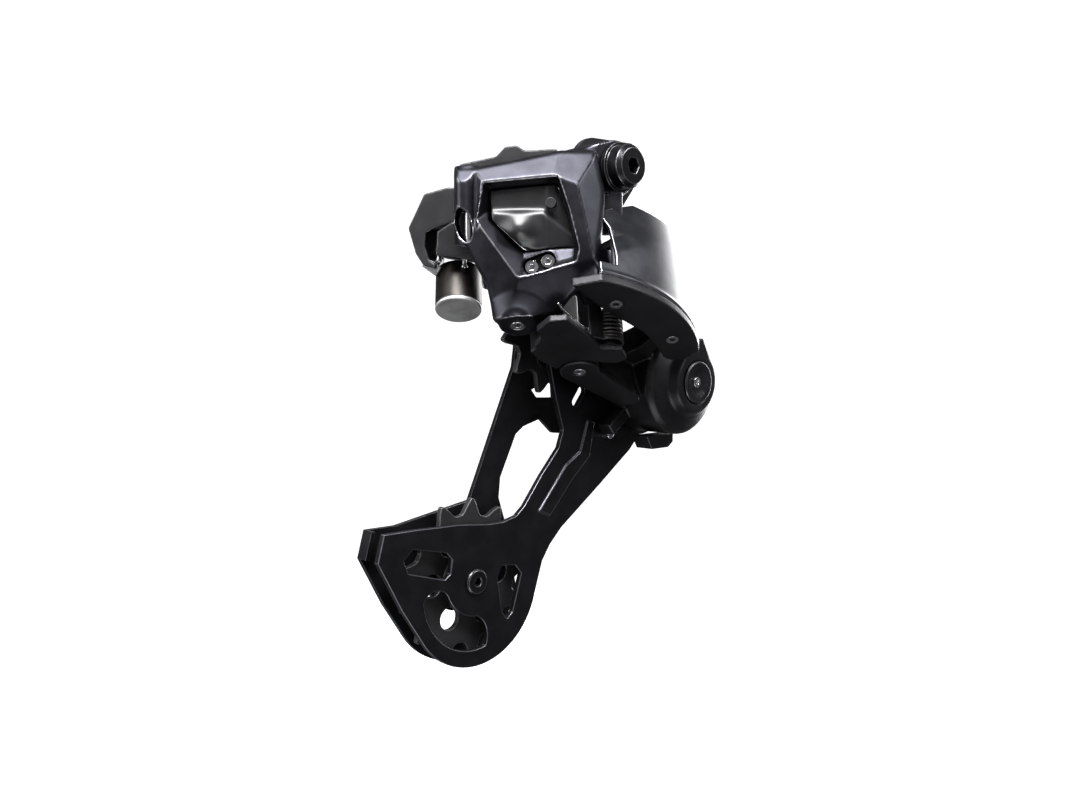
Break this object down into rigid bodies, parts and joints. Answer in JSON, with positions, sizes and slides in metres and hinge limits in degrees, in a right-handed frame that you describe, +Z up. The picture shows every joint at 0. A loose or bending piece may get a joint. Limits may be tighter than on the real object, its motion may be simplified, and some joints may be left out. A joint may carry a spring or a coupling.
{
  "type": "rear bicycle derailleur",
  "caption": "Electronic rear bicycle derailleur: hinged bracket, slanted four-bar linkage, sprung cage with two toothed pulleys.",
  "frame": {"origin": "on the hanger bolt's axis, at the seat of the stop plate against the frame's hanger", "axes": "+X to the front of the bicycle, +Y inboard along the hanger bolt's thread, towards the wheel, +Z up"},
  "size_m": [0.1487, 0.0819, 0.186],
  "materials": {
    "gunmetal": "dark anodised forged aluminium, satin, bright along its edges",
    "fairing_metal": "dark anodised aluminium skin, satin",
    "dark_metal": "black coated aluminium, satin",
    "plate_metal": "black anodised pressed plate, satin",
    "bolt_steel": "black oxide steel",
    "pin_steel": "plain steel",
    "spring_steel": "dark spring steel",
    "strip_steel": "bright steel strip",
    "bush_metal": "sintered bronze",
    "case_plastic": "black moulded case, semi gloss",
    "cover_plastic": "black moulded cover, fine grain",
    "pad_plastic": "light grey moulded pad",
    "motor_metal": "glossy dark motor can",
    "motor_end_metal": "plain turned metal",
    "lens": "small dark window",
    "board": "circuit board",
    "cell": "wrapped lithium cell",
    "pulley_plastic": "black moulded pulley",
    "cap_metal": "turned grey cap",
    "dust_cap_metal": "black pressed cap",
    "seal_rubber": "black rubber"
  },
  "bodies": {
    "hanger_end": {"hanger_bolt": "bolt_steel", "axle_sleeve": "pin_steel", "stop_plate": "plate_metal", "axle_seal": "seal_rubber"},
    "bracket": {"bracket_casting": "gunmetal", "bracket_stop_screw": "pin_steel", "column_pin": "pin_steel", "limit_screws": "pin_steel", "electronics_case": "case_plastic", "case_back_cover": "case_plastic", "status_lens": "lens", "circuit_board": "board", "battery_cell": "cell", "top_cover": "cover_plastic", "battery_housing": "cover_plastic", "battery_cover": "cover_plastic", "contact_pad": "pad_plastic", "motor_can": "motor_metal", "motor_end_cap": "motor_end_metal", "motor_magnets": "motor_end_metal", "gear_housing": "cover_plastic", "inner_upper_pin": "pin_steel", "outer_upper_bush": "bush_metal"},
    "button": {"function_button": "cover_plastic"},
    "motor": {"motor_rotor": "motor_end_metal"},
    "outer_link": {"outer_link": "dark_metal", "link_fairing": "fairing_metal", "outer_link_pins": "pin_steel"},
    "inner_link": {"inner_link": "dark_metal", "inner_link_bushes": "bush_metal", "spring_post": "pin_steel", "return_spring": "spring_steel", "spring_arm": "strip_steel"},
    "lower_body": {"lower_body": "dark_metal", "body_cover": "plate_metal", "axle_bush": "bush_metal", "roller_clutch": "pin_steel", "friction_band": "pin_steel", "clutch_cap": "cap_metal", "cap_screw": "pin_steel", "cage_spring": "spring_steel", "clutch_adjuster": "cover_plastic", "outer_lower_bush": "bush_metal", "inner_lower_pin": "pin_steel"},
    "cage": {"outer_cage_plate": "plate_metal", "inner_cage_plate": "plate_metal", "cage_axle": "bolt_steel", "cage_seal": "seal_rubber", "cage_stop_pin": "bolt_steel", "guide_bush": "pin_steel", "guide_dust_caps": "dust_cap_metal", "guide_bolt": "bolt_steel", "tension_bush": "pin_steel", "tension_dust_caps": "dust_cap_metal", "tension_bolt": "bolt_steel"},
    "guide_wheel": {"guide_pulley": "pulley_plastic", "guide_bearing": "pin_steel"},
    "tension_wheel": {"tension_pulley": "pulley_plastic", "tension_bearing": "pin_steel"}
  },
  "joints": [
    {"name": "bracket_pivot", "type": "hinge", "parent": "hanger_end", "child": "bracket", "pos_m": [0, -0.007, 0], "axis": [0, 1, 0], "range_deg": [0, 25]},
    {"name": "shift_pivot", "type": "hinge", "parent": "bracket", "child": "outer_link", "pos_m": [-0.00798, -0.01871, -0.04295], "axis": [0.3435, 0.3987, 0.8503], "range_deg": [-8, 46]},
    {"name": "inner_pivot", "type": "hinge", "parent": "bracket", "child": "inner_link", "pos_m": [-0.02951, 0.00688, -0.04978], "axis": [0.3435, 0.3987, 0.8503], "range_deg": [-8, 46]},
    {"name": "lower_pivot", "type": "hinge", "parent": "outer_link", "child": "lower_body", "pos_m": [0.02206, -0.01871, -0.05509], "axis": [0.3435, 0.3987, 0.8503], "range_deg": [-46, 8]},
    {"name": "motor_spin", "type": "hinge", "parent": "bracket", "child": "motor", "pos_m": [-0.03689, 0.02971, -0.04897], "axis": [0.3435, 0.3987, 0.8503], "range_deg": [-48, 276]},
    {"name": "cage_pivot", "type": "hinge", "parent": "lower_body", "child": "cage", "pos_m": [0.0467, 0.01, -0.076], "axis": [0, -1, 0], "range_deg": [0, 85], "stiffness_Nm_per_rad": 0.8, "springref_deg": -28.65},
    {"name": "guide_spin", "type": "hinge", "parent": "cage", "child": "guide_wheel", "pos_m": [0.0057, 0.0233, -0.0525], "axis": [0, 1, 0], "continuous": true},
    {"name": "tension_spin", "type": "hinge", "parent": "cage", "child": "tension_wheel", "pos_m": [-0.0403, 0.0233, -0.1435], "axis": [0, 1, 0], "continuous": true},
    {"name": "button_press", "type": "slide", "parent": "bracket", "child": "button", "axis": [0.7611, 0.6486, 0], "range_m": [0, 0.0006], "stiffness_N_per_m": 600}
  ],
  "couplings": [
    {"joint": "inner_pivot", "follows": "shift_pivot", "ratio": 1},
    {"joint": "lower_pivot", "follows": "shift_pivot", "ratio": -1},
    {"joint": "motor_spin", "follows": "shift_pivot", "ratio": 6}
  ]
}
